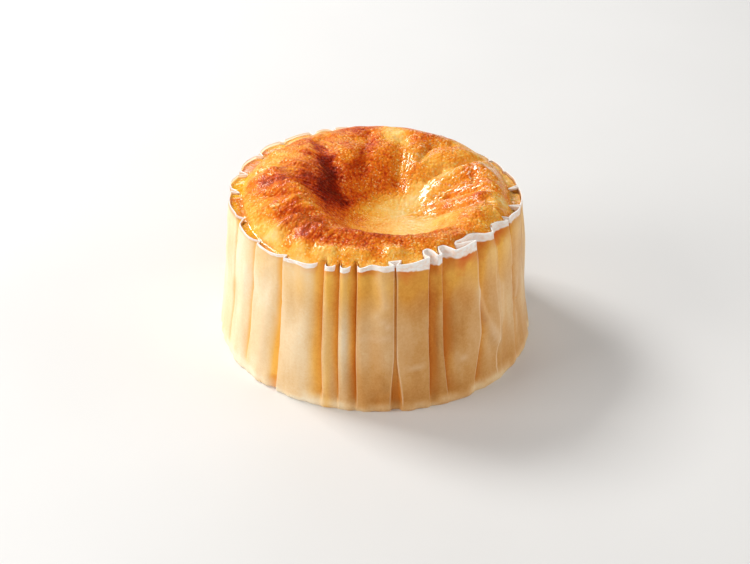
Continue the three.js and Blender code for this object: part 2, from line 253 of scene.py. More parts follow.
# %% Turns of the paper, from the left round the front to the right
# rim: angle, depth inward; side: angle, depth; foot: angle, depth; 1 for a sharp crease
TURNS = [
    ((-141, 0.0), (-141, -0.1), (-141, -0.1), 0),
    ((-137.2, 0.3), (-137, 0.2), (-137, 0.1), 1),
    ((-135.6, 1.4), (-136.4, 0.8), (-136.4, 0.4), 1),
    ((-134.8, 0.2), (-136, 0.0), (-136, 0.0), 1),
    ((-128, -0.4), (-128, -0.3), (-128, -0.2), 0),
    ((-121.8, 0.5), (-121.8, 0.1), (-121.8, 0.1), 1),
    ((-120.2, 2.4), (-121.2, 1.0), (-121.2, 0.6), 1),
    ((-119.2, 0.7), (-120.8, 0.0), (-120.8, 0.0), 1),
    ((-112, -0.4), (-112, -0.3), (-112, -0.2), 0),
    ((-104.8, 0.4), (-105, 0.1), (-105, 0.1), 1),
    ((-102.8, 2.9), (-104.4, 1.0), (-104.4, 0.6), 1),
    ((-101.6, 0.6), (-104, 0.0), (-104, 0.0), 1),
    ((-96, -0.6), (-97, -0.3), (-97, -0.2), 0),
    ((-91.4, 0.1), (-92.6, 0.2), (-92.6, 0.2), 1),
    ((-87.8, 2.5), (-91.8, 1.0), (-91.8, 0.6), 1),
    ((-89.4, 0.2), (-91.4, 0.0), (-91.4, 0.0), 1),
    ((-82, -0.3), (-83, -0.3), (-83, -0.2), 0),
    ((-75.5, 0.1), (-76.5, 0.1), (-76.5, 0.1), 0),
    ((-72.2, 0.4), (-69.6, 0.2), (-71, 0.2), 1),
    ((-69.8, 2.1), (-66.8, 1.1), (-68.5, 0.8), 1),
    ((-66.2, 0.4), (-66.5, 0.0), (-68.2, 0.0), 1),
    ((-58, -0.3), (-59.5, -0.3), (-60.5, -0.2), 0),
    ((-53.8, 0.2), (-54.8, 0.2), (-56.6, 0.3), 0),
    ((-51.4, 1.5), (-52.4, 1.1), (-54.1, 0.9), 1),
    ((-51.0, 0.1), (-52.1, 0.0), (-53.8, 0.0), 1),
    ((-44, -0.3), (-45.5, -0.3), (-46.5, -0.2), 0),
    ((-39.6, 0.2), (-40.4, 0.2), (-42.4, 0.1), 1),
    ((-36.9, 1.6), (-37.6, 1.3), (-37.7, 1.0), 1),
    ((-36.6, 0.0), (-37.3, 0.0), (-37.4, 0.0), 1),
    ((-31, 0.5), (-31, -0.3), (-31.5, -0.2), 0),
    ((-25, 0.1), (-25.4, 0.2), (-24.6, 0.1), 0),
    ((-20.6, 3.0), (-20.2, 1.45), (-19.6, 0.9), 1),
    ((-19.5, 0.4), (-19.6, 0.0), (-18.6, 0.0), 1),
    ((-18.2, -0.2), (-18.2, -0.2), (-17.4, -0.1), 0),
    ((-16.2, 0.3), (-16.3, 0.4), (-15.6, 0.2), 0),
    ((-14.6, 2.8), (-14.0, 1.35), (-13.3, 0.8), 1),
    ((-13.5, 0.4), (-13.5, 0.0), (-12.6, 0.0), 1),
    ((-12.2, -0.2), (-12.1, -0.2), (-11.4, -0.1), 0),
    ((-10.4, 0.3), (-10.3, 0.4), (-9.8, 0.2), 0),
    ((-8.2, 3.2), (-7.4, 1.4), (-6.8, 0.9), 1),
    ((-7.0, 0.4), (-6.9, 0.0), (-6.2, 0.0), 1),
    ((-5.2, -0.2), (-5.2, -0.2), (-4.6, -0.1), 0),
    ((-1.8, 1.0), (-1.8, 0.1), (-1.8, 0.0), 0),
    ((2.5, -0.1), (2.5, -0.3), (2.5, -0.1), 0),
    ((6.6, 0.2), (6.6, 0.1), (5.4, 0.1), 1),
    ((4.8, 2.0), (6.7, 0.7), (6.3, 1.0), 1),
    ((9.4, 2.0), (7.5, 0.7), (8.8, 1.0), 1),
    ((7.2, 0.2), (7.6, 0.1), (9.7, 0.1), 1),
    ((12.5, -0.3), (12.5, -0.3), (13.5, -0.2), 0),
    ((17.2, 0.0), (17.8, -0.1), (18.0, 0.0), 0),
    ((20.6, 0.4), (19.7, 0.0), (19.6, 0.0), 1),
    ((19.4, 2.4), (19.9, 0.9), (19.8, 0.5), 0),
    ((19.8, 3.6), (20.1, 1.6), (20.1, 0.9), 1),
    ((21.8, 3.9), (21.2, 1.2), (21.4, 0.6), 0),
    ((23.3, 2.4), (22.8, 0.9), (23.3, 0.4), 0),
    ((23.8, 0.3), (24.2, 0.4), (25.0, 0.2), 0),
    ((25.8, 0.3), (25.4, 0.0), (26.6, 0.1), 1),
    ((26.1, 2.2), (25.6, 0.8), (26.9, 0.4), 0),
    ((26.9, 3.4), (25.8, 1.5), (27.2, 0.7), 1),
    ((29.0, 3.3), (27.5, 1.0), (28.6, 0.5), 0),
    ((30.6, 1.4), (29.5, 0.6), (31.0, 0.3), 0),
    ((32.0, -0.2), (32.5, 0.1), (33.0, 0.0), 0),
    ((37.0, -0.2), (37.0, -0.1), (35.6, -0.1), 0),
    ((42.7, 0.3), (43.2, 0.0), (38.2, 0.0), 1),
    ((39.0, 1.2), (43.3, 0.4), (38.4, 0.3), 0),
    ((34.2, 2.0), (43.4, 0.8), (38.6, 0.6), 0),
    ((35.4, 2.9), (43.6, 1.2), (38.8, 1.0), 1),
    ((39.3, 2.9), (44.6, 1.0), (40.2, 0.7), 0),
    ((43.2, 3.5), (46.0, 0.7), (42.0, 0.4), 0),
    ((46.4, 2.9), (48.0, 0.5), (44.0, 0.2), 0),
    ((49.4, 1.2), (50.5, 0.2), (46.5, 0.1), 0),
    ((53.3, 0.3), (54.0, 0.0), (50.0, 0.0), 1),
    ((55.4, 1.8), (55.2, 0.2), (52.5, 0.1), 0),
    ((58.0, 2.9), (56.4, 0.5), (54.0, 0.2), 1),
    ((61.5, 2.5), (58.6, 0.4), (57.0, 0.1), 0),
    ((63.5, 1.4), (61.6, 0.1), (60.0, 0.0), 0),
    ((65.7, 0.4), (65.5, 0.0), (63.6, 0.0), 1),
    ((66.4, 2.4), (65.8, 0.4), (63.9, 0.4), 0),
    ((67.2, 4.2), (66.0, 0.9), (64.3, 0.7), 1),
    ((68.0, 0.8), (68.0, 0.5), (66.0, 0.4), 1),
    ((72.0, 0.7), (71.0, 0.1), (69.0, 0.1), 0),
    ((77.0, 0.1), (77.0, -0.2), (76.0, -0.2), 0),
    ((80.9, 0.0), (80.9, 0.0), (80.9, 0.0), 1),
    ((80.2, 3.4), (81.3, 1.2), (81.3, 0.7), 1),
    ((82.0, 0.1), (81.8, 0.0), (81.8, 0.0), 1),
    ((90.0, -0.3), (90.0, -0.3), (90.0, -0.2), 0),
    ((98.6, 0.0), (98.6, 0.0), (98.6, 0.0), 1),
    ((95.8, 3.6), (99.2, 1.2), (99.2, 0.7), 1),
    ((99.8, 0.1), (99.8, 0.0), (99.8, 0.0), 1),
    ((106.0, -0.3), (106.0, -0.3), (106.0, -0.2), 0),
]
BACK_PLEATS = {"first": 113, "last": 211, "spacing": 12, "jitter": 2.6, "flat_before": 150}
SEED = 7


def back_pleat(at, width, depth, side):
    """One knife pleat of the back as turns of the paper; side is 1 or -1 for the way that it leans."""
    turns = [((at + side * a, depth * d), (at + side * a, 0.5 * depth * d), (at + side * a, 0.25 * depth * d), c)
             for a, d, c in ((-width, 0.05, 0), (-0.15, 1, 1), (0.15, 0.1, 1), (width, -0.08, 0))]
    return turns[::side]


def all_turns():
    """The turns that the front shows, and seeded knife pleats round the back."""
    random = np.random.default_rng(SEED)
    turns = list(TURNS)
    first, last = BACK_PLEATS["first"], BACK_PLEATS["last"]
    count = round((last - first) / BACK_PLEATS["spacing"])
    for i in range(count + 1):
        at = first + i * (last - first) / count + random.uniform(-0.5, 0.5) * BACK_PLEATS["jitter"]
        side = 1 if random.uniform() < 0.5 else -1
        deep = 0.3 if at < BACK_PLEATS["flat_before"] else 1
        turns += back_pleat(at, random.uniform(2.2, 4), deep * random.uniform(2, 3.6), side)
    return turns


# %% Columns of points between the turns
TURN_STEPS = 5


def turned_row(turn, laps=0):
    """Rim, side and foot values of a turn in one row, some full turns further on."""
    (rim_at, rim_in), (side_at, side_in), (foot_at, foot_in), _ = turn
    on = laps * FULL_TURN
    return np.array([rim_at + on, rim_in, side_at + on, side_in, foot_at + on, foot_in])


def paper_columns():
    """For each column of the paper: angle and depth at the rim, on the side and at the foot."""
    turns = all_turns()
    count = len(turns)
    rows = [turned_row(turns[i % count], i // count) for i in range(-1, count + 2)]
    columns, highlight_edges = [], []
    for i in range(count):
        a, b, c, d = rows[i:i + 4]
        a = b if turns[i][3] else a
        d = c if turns[(i + 1) % count][3] else d
        for u in np.arange(TURN_STEPS) / TURN_STEPS:
            columns.append(b + 0.5 * u * (c - a + u * (2 * a - 5 * b + 4 * c - d + u * (3 * (b - c) + d - a))))
            # Marks the first column of each sharp crease, where a painted highlight runs.
            highlight_edges.append(float(turns[i][3] and u == 0 and b[3] < 0.16))
    return np.array(columns), np.array(highlight_edges)


COLUMNS, FOLD_EDGE_HIGHLIGHTS = paper_columns()
print("paper columns", len(COLUMNS), "deepest fold", round(COLUMNS[:, 1].max(), 1))

# %% The paper's surface
FOOT_ZONE = (2, 17)
RIM_ZONE = (35, 40.5)
WALL_ROWS = 44
FOOT_NOTCH = {"from": -42.5, "to": -37.6, "height": 4.2, "depth": 0.7}
RIM_WAVE = 0.35
FOOT_PUCKER = 0.38


def paper_rows():
    """Shares of the height at which the paper has a row of points, closer together near both ends."""
    even = np.linspace(0, 1, WALL_ROWS)
    return even - 0.1 * np.sin(2 * np.pi * even)


ARC = 0.68
# from (degrees, height), to, half width, millimetres outward
CREASES = [
    ((43.2, 28), (46.8, 18.2), 0.8, 0.5),
    ((46.8, 18.2), (52, 11.5), 1.1, 0.5),
    ((45, 13), (50, 8), 1.6, -0.4),
    ((55.3, 27), (57, 23.6), 0.8, 0.4),
    ((57, 23.6), (56, 16), 1.2, 0.4),
    ((33.1, 26.6), (36.5, 27.6), 0.4, -0.3),
    ((1.3, 38), (3.6, 30), 1.1, 0.35),
    ((3.6, 30), (-0.7, 27), 0.9, 0.2),
    ((-0.7, 27), (4.4, 24.3), 0.8, 0.3),
    ((-5.6, 21.1), (5.1, 21.2), 0.5, 0.2),
    ((-34.8, 17.8), (-23.5, 20.4), 0.5, -0.25),
    ((-32, 37), (-31, 22), 1.6, -0.35),
    ((12, 19), (18.5, 14), 0.7, -0.25),
    ((11, 12.5), (18, 12), 0.5, 0.2),
    ((31, 12), (36, 10.5), 0.6, 0.25),
    ((66.5, 26), (69, 14), 0.7, -0.35),
    ((70, 22), (67.5, 9), 0.7, 0.35),
    ((-57, 30), (-60, 12), 1.4, 0.25),
    ((-44, 25), (-46, 9), 1.4, 0.25),
]


def creasing(degrees, z):
    table = [((a * ARC, h), (b * ARC, k), width, amount) for (a, h), (b, k), width, amount in CREASES]
    return marks(table, degrees * ARC, z)


def crumple(degrees, z):
    """Small uneven bulges and creases of the paper, outward, in millimetres."""
    x, y = bearing(degrees)
    broad = hills(x * 5, y * 5, z / 14, 21)
    fine = hills(x * 14, y * 14, z / 5, 22)
    creased = np.abs(hills(x * 9 + z / 9, y * 9, z / 8, 23))
    patch = soft_step(hills(x * 3, y * 3, z / 20, 24), 0, 0.5)
    return 0.36 * broad + 0.13 * fine - 0.4 * patch * np.exp(-creased * 9) + creasing(degrees, z)


def puckers(degrees, z):
    """Small upright folds at the foot, where the paper turns in under the cake."""
    x, y = bearing(degrees)
    return FOOT_PUCKER * hills(x * 19, y * 19, z / 9, 41) * (1 - soft_step(z, 2, 10))


def notch(degrees, z):
    """From 0 to 1 where the foot of one panel is turned in."""
    start, end = FOOT_NOTCH["from"], FOOT_NOTCH["to"]
    return soft_step(degrees, start, end - 1) * (degrees < end) * (1 - soft_step(z, 0.75 * FOOT_NOTCH["height"],
                                                                              FOOT_NOTCH["height"]))


def paper_ring(share):
    """One row of the paper: plan points, fold depths, angles, and heights below the rim."""
    rim_at, rim_in, side_at, side_in, foot_at, foot_in = COLUMNS.T
    wave = RIM_WAVE * hills(*(k * 6 for k in bearing(rim_at)), 0.5, 25)
    rim = rim_height(rim_at) + wave
    z = rim * share
    to_side = soft_step(z, *FOOT_ZONE)
    to_rim = soft_step(z, *RIM_ZONE)
    degrees = foot_at + (side_at - foot_at) * to_side + (rim_at - side_at) * to_rim
    depth = foot_in + (side_in - foot_in) * to_side + (rim_in - side_in) * to_rim
    pinched = 0.75 * (1 - soft_step(z, 0.8, 4.5)) * (1 - np.exp(-((degrees - 7.5) / 5) ** 2))
    depth = depth * (1 - pinched) + FOOT_NOTCH["depth"] * notch(degrees, z)
    foot = BASE_ROUNDING * (1 - soft_step(z, -1.5, 1.6)) ** 2 * 2
    r = wall_radius(degrees, z) - depth - foot + crumple(degrees, z) * soft_step(z, 0, 6) * (1 - 0.6 * to_rim)
    r = r + puckers(degrees, z)
    x, y = bearing(degrees)
    wetted = soft_step(depth, 0.8, 1.6) * (degrees > SOAKED_FOLDS[0]) * (degrees < SOAKED_FOLDS[1])
    bare = (rim - z) / round_the_cake(BARE_EDGE, degrees) + 3 * wetted
    return np.stack([x * r, y * r, z], 1), depth, degrees, bare


# %% How far the butter has soaked into the paper, with painted shade near the foot
SOAKED_FOLDS = (-23, -6.8)
SEE_THROUGH = [0.04, 0.06, 0.25, 0.4, 0.7, 0.85, 0.7, 0.1]
SOAKED = [0.58, 0.53, 0.38, 0.36, 0.4, 0.4, 0.14, 0.2]
# middle in degrees, half width, amount
SOAKED_PANELS = [(-11, 2.2, -0.27), (-26, 4, -0.16), (-17, 1.6, -0.12), (13, 5, 0.12), (34, 6, 0.06),
                 (60, 6, -0.06)]
GOLDEN_PANELS = [(-17, 1.6, 0.6)]
GOLDEN_FOOT = [(-39.4, 2.2, 0.85), (-53.6, 1.3, 0.5), (-68, 1.5, 0.3), (-22, 2.4, 0.5)]
PALE_FOOT = [0.2, 0.22, 0.18, 0.14, 0.12, 0.1, 0.1, 0.24]
GOLDEN_TOP = [1.3, 1.1, 0.5, 0.5, 0.4, 0.3, 0.1, 0.3]
CARAMEL_STAINS = [(36, 6, 0.85), (59, 6, 0.75), (48, 2.5, 0.4), (23, 3, 0.35), (-4, 3.5, 0.5), (11, 4, 0.5),
                  (-16, 9, 0.3)]


def bands(table, degrees):
    """Sum of soft upright bands, each with its middle, half width and amount."""
    return sum(amount * np.exp(-((degrees - middle) / wide) ** 2) for middle, wide, amount in table)


def soaking_and_foot_shade(degrees, z, depth):
    """From 0, dry and cream coloured, to 1, soaked to an amber brown. Near the foot at the front and right it also
    holds painted shade.
    """
    x, y = bearing(degrees)
    base = round_the_cake(SOAKED, degrees)
    # Painted shade: darker towards the foot at the front and right.
    low = 0.12 * (1 - soft_step(z, 2, 16)) * soft_step(degrees, -30, 0) * soft_step(z, 0, 3)
    scuffs = 1 + 1.1 * hills(x * 14, y * 14, z / 2, 42)
    foot = round_the_cake(PALE_FOOT, degrees) * scuffs * (1 - soft_step(z, 1.4, 3.6 + 1.4 * hills(x * 7, y * 7, 0.5, 28)))
    cloud = 0.12 * hills(x * 6, y * 6, z / 9, 26) + 0.05 * hills(x * 15, y * 15, z / 5, 27)
    panels = bands(SOAKED_PANELS, degrees) * soft_step(z, -6, 12)
    top = 0.1 * round_the_cake(GOLDEN_TOP, degrees) * soft_step(z, 26, 38)
    return base + panels + low - foot - top + 0.12 * np.clip(depth, -0.3, 1.8) + cloud


def caramel_stain(degrees):
    """How strongly sugar has browned just under the dry edge."""
    return 0.1 + bands(CARAMEL_STAINS, degrees)


def golden(degrees, z, depth):
    """From 0 to 1 where custard shines through the paper: in the folds and just below the rim."""
    x, y = bearing(degrees)
    patches = 0.75 + 0.5 * hills(x * 10, y * 10, z / 8, 29)
    top = round_the_cake(GOLDEN_TOP, degrees) * patches * soft_step(z, 22, 37)
    top = top + bands(GOLDEN_PANELS, degrees)
    low = bands(GOLDEN_FOOT, degrees) * (1 - soft_step(z, 6, 30))
    return np.clip((soft_step(depth, 0.15, 1.2) + low) * soft_step(z, 1.5, 4) + top, 0, 1)


def paper_piece():
    rings, depths, angles, belows = zip(*(paper_ring(share) for share in paper_rows()))
    base = [rings[0] * [k, k, 0] for k in (0.97, 0.9, 0.75, 0.5, 0.25)]
    rows = base[::-1] + list(rings)
    columns = len(COLUMNS)
    points = np.concatenate(rows + [np.zeros((1, 3))])
    middle = len(points) - 1
    faces = []
    for row in range(len(rows) - 1):
        for i in range(columns):
            j = (i + 1) % columns
            faces.append((row * columns + i, row * columns + j, (row + 1) * columns + j, (row + 1) * columns + i))
    faces += [(middle, (i + 1) % columns, i) for i in range(columns)]

    def with_base(values, at_base):
        return np.concatenate([np.full(columns, at_base)] * len(base) + list(values) + [[at_base]])

    soak_and_foot_shade = [soaking_and_foot_shade(at, ring[:, 2], depth) for at, ring, depth in zip(angles, rings, depths)]
    notches = [notch(at, ring[:, 2]) for at, ring in zip(angles, rings)]
    golds = [golden(at, ring[:, 2], depth) for at, ring, depth in zip(angles, rings, depths)]
    # Painted highlight along the sharp creases and along the raised creases of the paper.
    crest_highlights = [FOLD_EDGE_HIGHLIGHTS * soft_step(ring[:, 2], 0.5, 3) + np.clip(2 * creasing(at, ring[:, 2]), 0, 0.6)
              for at, ring in zip(angles, rings)]
    attributes = {
        # soaking, with painted shade near the foot
        "soaked": with_base(soak_and_foot_shade, SOAKED[0]),
        "bare_edge": with_base(belows, RIM_HEIGHT),
        "notch": with_base(notches, 0),
        "golden": with_base(golds, 0),
        "caramel": with_base([caramel_stain(at) for at in angles], 0),
        # the painted highlight along the creases
        "crest": with_base(crest_highlights, 0),
        "see_through": with_base([round_the_cake(SEE_THROUGH, at) for at in angles], 0),
    }
    return mesh_piece("baking_paper_case", points, faces, attributes)


# %% [markdown]
# ## The cake
# The top is one height for each point in plan: a floor that has sunk, a wall round it, a swollen crest
# and a shoulder that rolls down to the paper. On that come the lobes and creases that tell this cake
# from another, and then wrinkles that run outward from the hollow, because the skin was pulled towards
# the middle as it sank.

# %% Form of the crust
HOLLOW = {"x": 4, "y": -4, "height": 34.6, "dish": 0.012}
CREST_REACH = [22, 23.5, 24, 25, 25, 25, 24, 24]
CREST_HEIGHT = [41.4, 42.2, 42.3, 42.2, 43.4, 44.2, 43.9, 42.6]
WALL_START = [15.5, 13, 6, 4, 4, 4, 7, 12.5]
WALL_END = [0.98, 0.97, 1, 1, 0.85, 0.9, 1.05, 1.0]
SHOULDER_POWER = 2.6
POCKET_WIDTH = [0.3, 0.3, 3.2, 1.4, 1.0, 2.6, 2.8, 1.4]
# from, to, half width, height
RELIEF = [
    ((8, 24), (18, 20.5), 2.6, 1.0),
    ((11, 12.5), (13.6, 18), 1.0, -0.9),
    ((13.6, 18), (19, 19), 1.0, -0.7),
    ((11, 11), (22, 15.5), 2.8, 1.1),
    ((12.8, 6.8), (16, 9), 1.0, -1.1),
    ((16, 9), (23, 10.8), 1.0, -1.0),
    ((23, 10.8), (27, 14), 1.1, -0.8),
    ((15.5, 4.8), (23, 6.8), 2.9, 1.2),
    ((26, 8), (28.5, 4), 2.4, 0.9),
    ((24.2, 8), (24.6, 1), 0.9, -0.6),
    ((26, 1), (29, -1), 2.0, 0.6),
    ((14.5, 1), (18, -0.6), 1.0, -0.9),
    ((18, -0.6), (26, -3), 1.0, -1.1),
    ((17.5, -4.6), (25.5, -6.6), 2.2, 1.0),
    ((15, -7), (24, -9.5), 1.0, -0.8),
    ((17, -11), (24, -15), 3.0, 0.9),
    ((27, -8), (29.5, -14), 1.3, -0.5),
    ((30, -13), (31, -14.5), 1.3, 1.0),
    ((5.4, 7), (6, 21), 2.0, -1.2),
    ((-3.6, 9), (-2.2, 24), 1.8, -0.9),
    ((-15.5, 19), (-12.5, 8), 2.6, -0.7),
    ((-12.5, 8), (-8.5, -2), 2.4, -0.8),
    ((-20, 4), (-14, -5), 4, 0.7),
    ((-31, 7.5), (-27, 14), 1.8, 0.6),
    ((-27, 14), (-21, 20), 1.8, 0.6),
    ((-30.5, 4.3), (-23, 6), 1.2, -0.6),
    ((-32, 1.5), (-27, 1.5), 2.0, 0.8),
    ((-27, 1.5), (-22, -5.5), 2.4, 1.0),
    ((-22, -5.5), (-16.5, -10.5), 2.2, 0.8),
    ((-31, -6.5), (-26, -8), 1.0, -0.9),
    ((-26, -8), (-20.5, -10.4), 0.9, -0.9),
    ((-26.5, -13.5), (-20.5, -12.6), 2.0, 1.0),
    ((-20.5, -12.6), (-12, -17), 1.9, 0.9),
    ((-29, -16.2), (-23, -17.3), 1.0, -0.9),
    ((-23, -17.3), (-17, -17.3), 0.9, -0.9),
    ((-24.5, -20.8), (-19, -20.3), 1.6, 0.9),
    ((-19, -20.3), (-13.5, -24.5), 1.6, 0.9),
    ((-18, -19), (-11, -21.5), 0.8, -0.6),
    ((-13.5, -24.5), (16, -27), 2.2, 0.6),
]
# pale blobs of custard on the shoulder, written in the same way
BLOBS = [
    ((-25, -22.5), (-24.5, -23), 1.8, 1.2),
    ((-19, -28), (-18, -28.6), 1.7, 1.3),
    ((-13.5, -31), (-11, -31.5), 1.7, 1.2),
    ((-7, -32), (-3, -32.6), 1.6, 0.8),
    ((3.6, -31.8), (5.2, -31.8), 1.9, 1.3),
]


def crust_zones(x, y):
    """Where a plan point lies: angle, share up the hollow's wall, share down the shoulder."""
    dx, dy = x - HOLLOW["x"], y - HOLLOW["y"]
    reach = np.hypot(dx, dy) + 1e-9
    degrees = angle_of(dx, dy)
    crest = round_the_cake(CREST_REACH, degrees)
    end = crest * round_the_cake(WALL_END, degrees)
    rise = soft_step(reach, round_the_cake(WALL_START, degrees), end)
    along = (dx * HOLLOW["x"] + dy * HOLLOW["y"]) / reach
    brim = RIM_RADIUS - round_the_cake(POCKET_WIDTH, angle_of(x, y))
    inside = brim ** 2 - HOLLOW["x"] ** 2 - HOLLOW["y"] ** 2
    edge_reach = np.sqrt(along ** 2 + inside) - along
    out = np.clip((reach - crest) / (edge_reach - crest), 0, 1)
    return degrees, reach, rise, out


def crust_form(x, y):
    """Height of the crust above the table, without its fine wrinkles."""
    degrees, reach, rise, out = crust_zones(x, y)
    crest_height = round_the_cake(CREST_HEIGHT, degrees)
    floor_height = HOLLOW["height"] + HOLLOW["dish"] * reach ** 2 * (1 - rise)
    own = angle_of(x, y)
    edge = rim_height(own) - round_the_cake(PAPER_SHOWING, own)
    z = floor_height + (crest_height - floor_height) * rise
    z = np.where(out > 0, crest_height - (crest_height - edge) * out ** SHOULDER_POWER, z)
    return z + marks(RELIEF + BLOBS, x, y) * soft_step(RIM_RADIUS - np.hypot(x, y), 0, 5)


# %% Wrinkles, blisters and pores
def pebbles(x, y, cell, seed, size=64):
    """Packed round grains about one cell wide: 1 on top of a grain, 0 in the seams between them."""
    shift = np.random.default_rng(seed).uniform(0.1, 0.9, (size, size, 2))
    u, v = x / cell, y / cell
    i, j = np.floor(u).astype(int), np.floor(v).astype(int)
    nearest = np.full(np.shape(u), 9.0)
    for di in (-1, 0, 1):
        for dj in (-1, 0, 1):
            centre = shift[(i + di) % size, (j + dj) % size]
            away = np.hypot(i + di + centre[..., 0] - u, j + dj + centre[..., 1] - v)
            nearest = np.minimum(nearest, away)
    return 1 - np.minimum(nearest, 1) ** 2


GRAIN = 0.2
SMOOTH_EDGE = [0.7, 0.55, 0.4, 0.3, 0.3, 0.5, 0.6, 0.75]


def crust_grains(x, y):
    """Packed blisters of two sizes, from 0 in the seams to about 1.6 on top."""
    bend = 0.5 * crust_lumps(x, y)[1]
    return pebbles(x + bend, y + bend, 0.85, 35) + 0.5 * pebbles(x - bend, y + bend, 1.5, 36)


def crust_lumps(x, y):
    """Broad and small lumps, which also brown more than what lies between them."""
    return hills(x / 6.5, y / 6.5, 0.5, 31), hills(x / 2.8, y / 2.8, 0.5, 32)


def crust_wrinkles(x, y):
    """Fine relief of the crust in millimetres, calmer on the hollow's floor."""
    degrees, reach, rise, out = crust_zones(x, y)
    ux, uy = bearing(degrees)
    lumps, knobs = crust_lumps(x, y)
    folds = 1 - 2 * np.abs(hills(ux * 9, uy * 9, reach / 7 + lumps, 33))
    grains = crust_grains(x, y)
    streaks = 1 - 2 * np.abs(hills(ux * 24, uy * 24, reach / 8, 37))
    wet = np.clip(marks(WET_MARKS, x, y), 0, 1)
    rough = (0.12 + 0.88 * rise) * (1 - round_the_cake(SMOOTH_EDGE, degrees) * soft_step(out, 0.4, 0.75))
    smooth = 0.22 * rough * streaks * soft_step(-x, 8, 20)
    shining = wet * (0.2 * streaks + 0.17 * pebbles(x + knobs, y + knobs, 1.5, 40))
    return rough * (0.5 * lumps + 0.28 * knobs + 0.14 * folds + GRAIN * grains) + shining + smooth


# %% Toasting of the crust
TOAST_FLOOR = 0.16
TOAST_WALL = [0.52, 0.38, 0.26, 0.3, 0.62, 0.68, 0.68, 0.62]
TOAST_CREST = [0.64, 0.54, 0.42, 0.36, 0.58, 0.58, 0.57, 0.64]
TOAST_EDGE = [0.28, 0.36, 0.44, 0.46, 0.44, 0.3, 0.34, 0.26]
TOAST_MARKS = [
    ((-18, 9), (-14, -4), 4.4, 0.08),
    ((-15.5, 17), (-13.5, 8), 2.4, 0.2),
    ((-29.5, 4), (-24.5, 0.5), 2.4, -0.14),
    ((-30, -4), (-27, -7), 3, 0.1),
    ((-19.5, -9), (-16.5, -15.5), 2.6, -0.16),
    ((-31, 0), (-30, -8), 3, 0.08),
    # painted shade: darker floor at the left, next to the lip
    ((-7.5, -4), (-3, -10), 3, 0.14),
    ((-13.5, 9), (-10.5, -2), 2.4, 0.3),
    ((-18, 3), (-13, -8), 3.4, 0.16),
    ((-3.6, 9), (-2.2, 22), 2.0, 0.12),
    ((3, 27), (5, 22), 3.5, -0.45),
    ((-18, 26), (-12, 22), 4, -0.08),
    ((29, -12), (31, -8), 3, -0.2),
    ((16, 5), (23, 6.5), 3.5, 0.08),
    ((18, -5), (25, -6.5), 2.4, 0.16),
    ((-29, -1), (-23, -4.5), 1.8, 0.14),
    ((-27, 8), (-21, 13), 3.5, -0.24),
    ((-21, 3), (-19, 7), 2, -0.16),
    ((12, -4), (22, 0), 3.4, 0.25),
    ((20, 2), (27, 5), 3.5, 0.12),
    ((9, 4), (16, 8), 3, -0.12),
    ((-4, 28), (-9, 27), 4, 0.16),
    ((-27, -2), (-20, 1), 3.4, 0.1),
    ((-20, -14.5), (-15, -18), 2, 0.08),
    ((-20, -18), (-14, -20.5), 1.6, 0.2),
    ((-24, -9), (-19, -11), 1.2, 0.1),
    ((-17.5, -27), (-13, -28.5), 2, 0.1),
    ((-27, -20), (-25, -24), 2.4, -0.14),
]
DRY_AND_SHADE_MARKS = [
    ((-18, -21), (20, -26), 3.2, 0.8),
    ((-24, -20), (-18, -20), 2.5, 0.7),
    ((-28, -4), (-18, -12), 3, 0.5),
    # painted shade: a darker tone over the brightly lit left ridges
    ((-27, 3), (-18, 4), 4, 0.4),
    ((16, -6), (24, -10), 1.6, 0.8),
]
WET_MARKS = [
    ((10, -2), (24, 8), 7, 0.9),
    ((9, 12), (14, 21), 4, 0.7),
    ((26, 2), (29, -10), 3.5, 0.6),
    ((10, -15), (22, -13), 4, 0.5),
    ((-31, 8), (-29, -4), 2, 0.15),
    ((-24, -26), (-8, -31.5), 2.5, 0.2),
]


def crust_paint(x, y):
    """Toasting, dryness and wetness of the crust, from 0 to 1. Some marks hold painted shade, and the pockets painted
    light.
    """
    degrees, reach, rise, out = crust_zones(x, y)
    wall = round_the_cake(TOAST_WALL, degrees)
    crest = round_the_cake(TOAST_CREST, degrees)
    edge = round_the_cake(TOAST_EDGE, degrees)
    floor = TOAST_FLOOR + 0.24 * soft_step(-x, -6, 7)
    toast = floor + (wall - floor) * soft_step(rise, 0, 0.25)
    toast = toast + (crest - toast) * soft_step(rise, 0.55, 1)
    toast = toast + (edge - toast) * soft_step(out, 0.35, 1)
    lumps, knobs = crust_lumps(x, y)
    toast = toast + 0.04 * marks(RELIEF, x, y) - 0.12 * marks(BLOBS, x, y)
    toast = toast + marks(TOAST_MARKS, x, y) + (0.12 * lumps + 0.06 * knobs) * (0.3 + 0.7 * rise)
    ux, uy = bearing(degrees)
    hatch = 0.5 - np.abs(hills(ux * 38, uy * 38, reach / 6 + lumps, 38))
    toast = toast + 0.26 * hatch * rise * (1 - out ** 3) * soft_step(-x, 2, 14)
    dry = marks(DRY_AND_SHADE_MARKS, x, y)
    pocket = soft_step(out, 0.93, 1) * soft_step(round_the_cake(POCKET_WIDTH, angle_of(x, y)), 0.8, 2)
    # Painted light: the pockets at the right are paler, against the shade that falls in them.
    toast = toast - 0.2 * pocket * soft_step(x, 15, 25)
    wet = marks(WET_MARKS, x, y) + 0.4 * marks(BLOBS, x, y) + 0.6 * pocket
    return {"toast": np.clip(toast, 0, 0.97), "dry": np.clip(dry, 0, 1), "wet": np.clip(wet, 0, 1),
            "custard": pocket * soft_step(-x, -5, 5), "grains": crust_grains(x, y)}


# %% Outline of the cake inside its paper
OUTLINE_STEPS = 720


